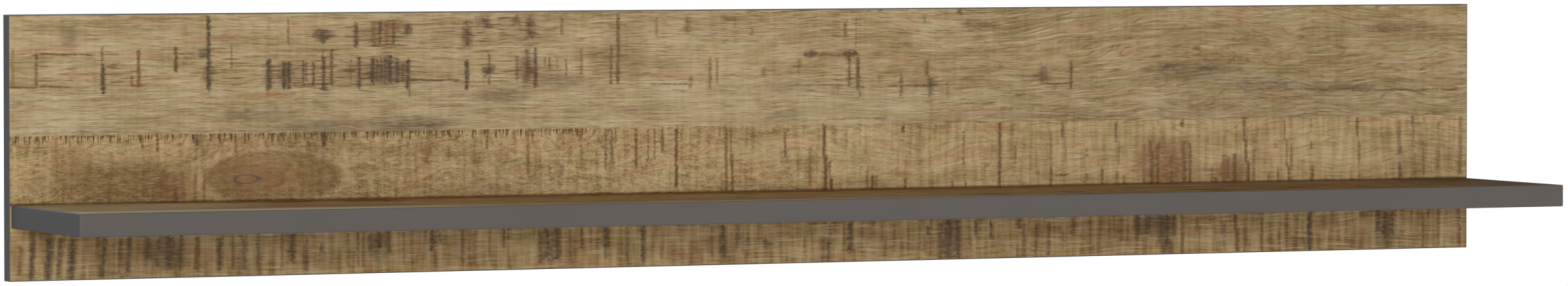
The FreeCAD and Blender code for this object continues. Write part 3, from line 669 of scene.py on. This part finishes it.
    # Pale streaks between them
    paleStreaks = flatNoise(add, grain, *look["paleSize"])
    paleWeight = add("Math", {0: curlyBoard, 1: -0.3, 2: 0.42}, "MULTIPLY_ADD")
    paleStreaks = add("MapRange", {0: paleStreaks, 1: 0.56, 2: 0.74, 4: paleWeight}, **eased)
    colour = add("Mix", {"Factor": paleStreaks, "A": colour, "B": look["pale"]})
    relief = add("Math", {0: fibre, 1: pores}, "SUBTRACT")
    add("NodeGroupOutput", {"Colour": colour, "Relief": relief})
    return tree


def makeBoardPrint(look):
    tree, add, inlet = newGroup("sawnBoardPrint", {"Place": "Vector"},
                                {"Colour": "Color", "Relief": "Float"})
    place = inlet["Place"]
    at = add("SeparateXYZ", {0: place})
    u, v = at.outputs["X"], at.outputs["Y"]
    brown = stainTones["brown"]
    soft, fadeOut = look["softSide"], look["fadeOut"]

    # Everything drawn on the grain is frayed, worn and broken along it
    fray = flatNoise(add, place, *look["dashSize"])
    fray = add("SeparateColor", {0: fray.outputs["Color"]})
    wear = flatNoise(add, place, 5, 4)
    wear = add("SeparateColor", {0: wear.outputs["Color"]})
    uShift = add("MapRange", {0: wear.outputs["Red"], 1: 0.2, 2: 0.8, 3: -look["ragged"],
                              4: look["ragged"]})
    vShift = add("MapRange", {0: wear.outputs["Green"], 1: 0.2, 2: 0.8, 3: -3, 4: 3})
    uFrayed = add("Math", {0: u, 1: uShift}, "ADD")
    lean = add("MapRange", {0: u, 1: -560, 2: -680, 4: look["lean"]})
    below = add("MapRange", {0: v, 1: -87, 2: -147})
    uFrayed = add("Math", {0: lean, 1: below, 2: uFrayed}, "MULTIPLY_ADD")
    vFrayed = add("Math", {0: v, 1: vShift}, "ADD")
    worn = add("MapRange", {0: wear.outputs["Blue"], 1: 0.33, 2: 0.65, 3: 0.7, 4: 1.3})
    dashes = add("MapRange", {0: fray.outputs["Blue"], 1: 0.32, 2: 0.68, 3: 0.85, 4: 1.2})
    dashes = add("Math", {0: dashes, 1: worn}, "MULTIPLY")
    halo = add("MapRange", {0: fray.outputs["Green"], 1: 0.36, 2: 0.66, 3: 0.4, 4: 1.9})
    speckle = add("MapRange", {0: fray.outputs["Blue"], 1: 0.32, 2: 0.68, 3: 0.65, 4: 1.3})
    blur = flatNoise(add, place, 16, 7, 3)
    blur = add("VectorMath", {0: blur.outputs["Color"], 1: (12, 9, 0), 2: (-6, -4.5, 0)}, "MULTIPLY_ADD")
    stainPlace = add("VectorMath", {0: place, 1: blur}, "ADD")
    knotPlace = add("VectorMath", {0: blur, 1: (0.7, 0.45, 0), 2: place}, "MULTIPLY_ADD")

    busy = addPatches(add, stainPlace, busyPatches)
    grain = add("Group", {"Place": place, "Busy": busy}, node_tree=makeGrain(look))
    colour = grain.outputs["Colour"]
    for tone, stains in softStains.items():
        colour = add("Group", {"Colour": colour, "Place": stainPlace, "Speckle": speckle},
                     node_tree=makeStainLayer(tone, stains)).outputs["Colour"]
    for name, knot in reversed(knots.items()):
        colour = add("Group", {"Colour": colour, "Place": knotPlace},
                     node_tree=makeKnot(name, knot)).outputs["Colour"]

    # A comb of short ticks under the middle board's edge
    comb = flatNoise(add, place, 3, 60, 1)
    combEnd = add("MapRange", {0: comb, 1: 0.46, 2: 0.66, 3: 11, 4: 1})
    comb = add("Math", {0: v, 1: combEnd}, "SUBTRACT")
    comb = add("MapRange", {0: comb, 2: 4}, **eased)
    combTop = add("MapRange", {0: v, 1: 12, 2: 10.5, 4: 0.8})
    combLeft = add("MapRange", {0: u, 1: look["combTo"], 2: look["combTo"] - 20})
    comb = add("Math", {0: comb, 1: combTop}, "MULTIPLY")
    comb = add("Math", {0: comb, 1: worn}, "MULTIPLY")
    comb = add("Math", {0: comb, 1: combLeft}, "MULTIPLY")
    colour = add("Mix", {"Factor": comb, "A": colour, "B": brown})

    ends = (-look["half"], look["half"])
    for i, layer in enumerate(inLayers(sawMarks, soft)):
        drawn = makeMarkLayer(f"sawMarks{i + 1}", layer, ends, fadeOut, soft, look["sawRamp"])
        colour = add("Group", {"Colour": colour, "Run": uFrayed, "Cross": vFrayed, "Dashes": dashes,
                               "Halo": halo}, node_tree=drawn).outputs["Colour"]
    waver = flatNoise(add, place, 22, 400, 1)
    waver = add("Math", {0: waver, 1: 2.6, 2: -1.3}, "MULTIPLY_ADD")
    vWavy = add("Math", {0: v, 1: waver}, "ADD")
    ends = (-look["halfLength"], look["halfLength"])
    for i, layer in enumerate(inLayers(grainStreaks, soft / 2)):
        drawn = makeMarkLayer(f"grainStreaks{i + 1}", layer, ends, 3 * fadeOut, soft / 2,
                              look["streakRamp"])
        colour = add("Group", {"Colour": colour, "Run": vWavy, "Cross": uFrayed, "Dashes": dashes,
                               "Halo": worn}, node_tree=drawn).outputs["Colour"]
    add("NodeGroupOutput", {"Colour": colour, "Relief": grain.outputs["Relief"]})
    return tree


def solidNoise(add, place, size, detail=2, **extra):
    scaled = add("VectorMath", {0: place, 1: [1 / s for s in size]}, "MULTIPLY")
    return add("TexNoise", {"Vector": scaled, "Scale": 1, "Detail": detail, **extra})


# Where each face sits on the print: turned into (u, v), then moved. Degrees and millimetres. Along and
# across are tints over the face that paint shade: on the shelf's top, painted shade darker towards its
# right end and next to the panel; on the panel's front, a painted contact shadow line where the shelf meets
# it.
# Pale are paler patches: the print's own tone on the panel's front, and painted sheen on the shelf's top.
decorFaces = {
    "panel_front_decor": {
        "turn": (-90, 0, 0), "shift": (0, 0, 0),
        # Painted contact shadow: a thin dark line on the panel's front where the shelf's top meets it
        "across": ((-128, "#FFFFFF"), (-56, "#FFFFFF"), (-54.2, "#8A7A68"), (-52.2, "#FFFFFF"),
                   (128, "#FFFFFF")),
        "pale": ((420, -20, 520, 30, .045), (0, 34, 230, 26, .06), (-100, 92, 160, 36, .04)),
    },
    "panel_rear_decor": {"turn": (-90, 180, 0), "shift": (0, 0, 0)},
    "shelf_top_decor": {
        "turn": (0, 0, 180), "shift": (0, -89, 0),
        # Painted shade: the shelf's top gets darker towards its right end (u runs from right to left here)
        "along": ((-800, "#7E6640"), (-735, "#A28A62"), (-690, "#BEA581"), (-400, "#DFC9AC"),
                  (-100, "#E8D2B7"), (300, "#FAE8D3"), (800, "#FFF6E8")),
        # Painted shade: darker next to the panel (v -74), lighter towards the front edge
        "across": ((-74, "#B49776"), (-61, "#CBB393"), (-51, "#DDC8AE"), (-34, "#F3E6D6"),
                   (-20, "#FFFFFF"), (126, "#FFFDF4")),
        # Painted sheen and highlight on the shelf's top, strongest along its front edge at the left
        "pale": ((740, 118, 420, 44, .62), (150, 124, 380, 24, .25), (720, 0, 150, 100, .25),
                 (420, 100, 170, 44, .1), (-520, -40, 250, 42, .12)),
    },
    "shelf_underside_decor": {"turn": (180, 0, 0), "shift": (0, -90, 0)},
}


def makeDecor(node, look, face, boardTree):
    material, add, place = startMaterial("mattMelamineDecor_" + node)
    place = add("Mapping", {"Vector": place, "Location": face["shift"],
                            "Rotation": [math.radians(a) for a in face["turn"]]})
    place = add("VectorMath", {0: place, 1: (1, 1, 0)}, "MULTIPLY")
    printed = add("Group", {"Place": place}, node_tree=boardTree)
    relief = printed.outputs["Relief"]
    rough = add("MapRange", {0: relief, 1: 0.1, 2: 0.7, 3: look["roughest"], 4: look["smoothest"]})
    bump = add("Bump", {"Height": relief, "Strength": 0.25, "Distance": 0.0001})
    colour = printed.outputs["Colour"]
    at = add("SeparateXYZ", {0: place})
    # Along and across tints paint shade: the shelf top's dark right end and panel strip, the panel's
    # contact line
    for way, axis in (("along", "X"), ("across", "Y")):
        if way in face:
            first, last = face[way][0][0], face[way][-1][0]
            share = add("MapRange", {0: at.outputs[axis], 1: first, 2: last})
            tint = add("ValToRGB", {"Fac": share})
            stops = [((where - first) / (last - first), shade) for where, shade in face[way]]
            fillRamp(tint.color_ramp, stops)
            colour = add("Mix", {"Factor": 1, "A": colour, "B": tint}, blend_type="MULTIPLY")
    # Pale patches: the print's own paler tone on the panel's front, painted sheen on the shelf's top
    if "pale" in face:
        rubbed = addPatches(add, place, face["pale"])
        colour = add("Mix", {"Factor": rubbed, "A": colour, "B": look["rubbed"]})
    shader = add("BsdfPrincipled", {"Base Color": colour, "Roughness": rough, "Normal": bump,
                                    "Specular IOR Level": look["shine"]})
    add("OutputMaterial", {"Surface": shader})
    return material


# Moulded ABS edge band, matt graphite: an even warm grey whose fine embossed grain shows only at a flat
# angle. The real emboss is about 0.3 mm from pip to pip. It is drawn three times coarser, or it wouldn't
# show.
edgeBand = {
    "front": "#5D5855",
    # The ends are the same band painted darker and cooler: painted shade on the end faces
    "ends": "#4E4E4E",
    "fade": 0.95,             # the darkest places against the written colour
    "fadeSize": 90,           # mm
    "embossPitch": 0.9,
    "embossDepth": 0.03,
    "roughest": 0.7,
    "smoothest": 0.56,
    "shine": 0.25,
}


def makeEdgeBand(name, look, colour):
    material, add, place = startMaterial(name)
    fade = solidNoise(add, place, [look["fadeSize"]] * 3)
    fade = add("MapRange", {0: fade, 1: 0.3, 2: 0.7})
    faded = [c * look["fade"] for c in linear(colour)[:3]] + [1]
    shade = add("Mix", {"Factor": fade, "A": faded, "B": colour})
    emboss = solidNoise(add, place, [look["embossPitch"]] * 3, 1)
    rough = add("MapRange", {0: emboss, 1: 0.3, 2: 0.7, 3: look["roughest"], 4: look["smoothest"]})
    bump = add("Bump", {"Height": emboss, "Strength": 0.5, "Distance": look["embossDepth"] / 1000})
    shader = add("BsdfPrincipled", {"Base Color": shade, "Roughness": rough, "Normal": bump, "IOR": 1.53,
                                    "Specular IOR Level": look["shine"]})
    add("OutputMaterial", {"Surface": shader})
    return material


# Raw pressed chipboard, seen where the pockets are routed and the holes drilled: flat chips of mixed browns
# with dark gaps, dull and a little rough to the eye.
chips = {
    "size": (3.2, 1, 3.2),  # mm; a chip lies flat in the board
    "pale": "#D2B78C",
    "middle": "#B39164",
    "deep": "#8C6A40",
    "gap": "#6A5032",
    "gapWidth": 0.09,
    "roughness": 0.9,
    "relief": 0.15,
}


def makeChipboard(look):
    material, add, place = startMaterial("pressedChipboard")
    warp = solidNoise(add, place, (2, 2, 2), 1)
    bent = add("VectorMath", {0: warp.outputs["Color"], 1: (1.2, 0.5, 1.2), 2: place}, "MULTIPLY_ADD")
    scaled = add("VectorMath", {0: bent, 1: [1 / s for s in look["size"]]}, "MULTIPLY")
    cell = add("TexVoronoi", {"Vector": scaled, "Scale": 1})
    gap = add("TexVoronoi", {"Vector": scaled, "Scale": 1}, feature="DISTANCE_TO_EDGE")
    tone = add("SeparateColor", {0: cell.outputs["Color"]}).outputs["Red"]
    fibre = solidNoise(add, place, (2.4, 0.25, 0.25), 1)
    tone = add("Math", {0: fibre, 1: 0.4, 2: tone}, "MULTIPLY_ADD")
    shade = add("ValToRGB", {"Fac": tone})
    fillRamp(shade.color_ramp, [(0, look["deep"]), (0.6, look["middle"]), (1, look["pale"])])
    open_ = add("MapRange", {0: gap.outputs["Distance"], 1: look["gapWidth"], 2: 0, 4: 0.75}, **eased)
    colour = add("Mix", {"Factor": open_, "A": shade, "B": look["gap"]})
    bump = add("Bump", {"Height": open_, "Strength": 0.6, "Distance": look["relief"] / 1000}, invert=True)
    shader = add("BsdfPrincipled", {"Base Color": colour, "Roughness": look["roughness"], "Normal": bump,
                                    "Specular IOR Level": 0.2})
    add("OutputMaterial", {"Surface": shader})
    return material


# Pressed and turned steel with bright zinc plating: a cool grey mirror, clouded, with a faint blue and
# straw sheen.
zinc = {
    "base": "#C3C7CC",
    "blue": "#BCC3CC",
    "straw": "#C9C6BC",
    "cloudSize": 11,          # mm
    "smoothest": 0.26,
    "roughest": 0.38,
    "scratchPitch": 0.35,     # real ones are finer and wouldn't show
    "scratchDepth": 0.01,
}


def makeZinc(look):
    material, add, place = startMaterial("zincPlatedSteel")
    cloud = solidNoise(add, place, [look["cloudSize"]] * 3, 3)
    shade = add("ValToRGB", {"Fac": cloud})
    fillRamp(shade.color_ramp, [(0.38, look["blue"]), (0.5, look["base"]), (0.64, look["straw"])])
    rough = add("MapRange", {0: cloud, 1: 0.3, 2: 0.7, 3: look["smoothest"], 4: look["roughest"]})
    pitch = look["scratchPitch"]
    scratch = solidNoise(add, place, (pitch * 24, pitch, pitch), 1)
    bump = add("Bump", {"Height": scratch, "Strength": 0.35, "Distance": look["scratchDepth"] / 1000})
    shader = add("BsdfPrincipled", {"Base Color": shade, "Metallic": 1, "Roughness": rough,
                                    "Normal": bump})
    add("OutputMaterial", {"Surface": shader})
    return material


# Plain turned beech: pinkish cream with short brown flecks along the dowel, waxy rather than glossy.
beech = {
    "pale": "#D9B78C",
    "deep": "#BF9768",
    "fleck": "#8F6743",
    "fleckLength": 2.6,       # mm, along the dowel
    "roughness": 0.6,
}


def makeBeech(look):
    material, add, place = startMaterial("turnedBeech")
    grain = solidNoise(add, place, (0.9, 16, 0.9))
    shade = add("Mix", {"Factor": grain, "A": look["deep"], "B": look["pale"]})
    fleck = solidNoise(add, place, (0.45, look["fleckLength"], 0.45), 1)
    fleck = add("MapRange", {0: fleck, 1: 0.6, 2: 0.7, 4: 0.6})
    colour = add("Mix", {"Factor": fleck, "A": shade, "B": look["fleck"]})
    shader = add("BsdfPrincipled", {"Base Color": colour, "Roughness": look["roughness"],
                                    "Specular IOR Level": 0.3})
    add("OutputMaterial", {"Surface": shader})
    return material


makeCamera(cameraPlace)
for name, light in softboxes.items():
    makeSoftbox(name, light)
makeRoom(room)
makeFloor(studioFloor)
print("camera, softboxes, room and floor made")

boardTree = makeBoardPrint(boardPrint)
decors = {name: makeDecor(name, boardPrint, face, boardTree) for name, face in decorFaces.items()}
print("board print made")

finishes = {
    "chipboard": makeChipboard(chips),
    "zinc_plated_steel": makeZinc(zinc),
    "beech": makeBeech(beech),
    "edge_band": makeEdgeBand("mouldedAbsEdgeBand", edgeBand, edgeBand["front"]),
}
# A darker copy of the band for the end faces: painted shade
shadedEndBand = makeEdgeBand("mouldedAbsEndBandShaded", edgeBand, edgeBand["ends"])
for row in frame["record"]["subparts"]:
    name = row["node"]
    material = decors.get(name, finishes.get(row["material_slot"]))
    # The end bands take the darker copy: painted shade
    if name.endswith(("band_left", "band_right")):
        material = shadedEndBand
    node = frame["nodes"][name]
    node.data.materials.clear()
    node.data.materials.append(material)
print("finishes made and laid on", len(frame["nodes"]), "nodes")

bpy.context.scene.view_settings.view_transform = "Standard"
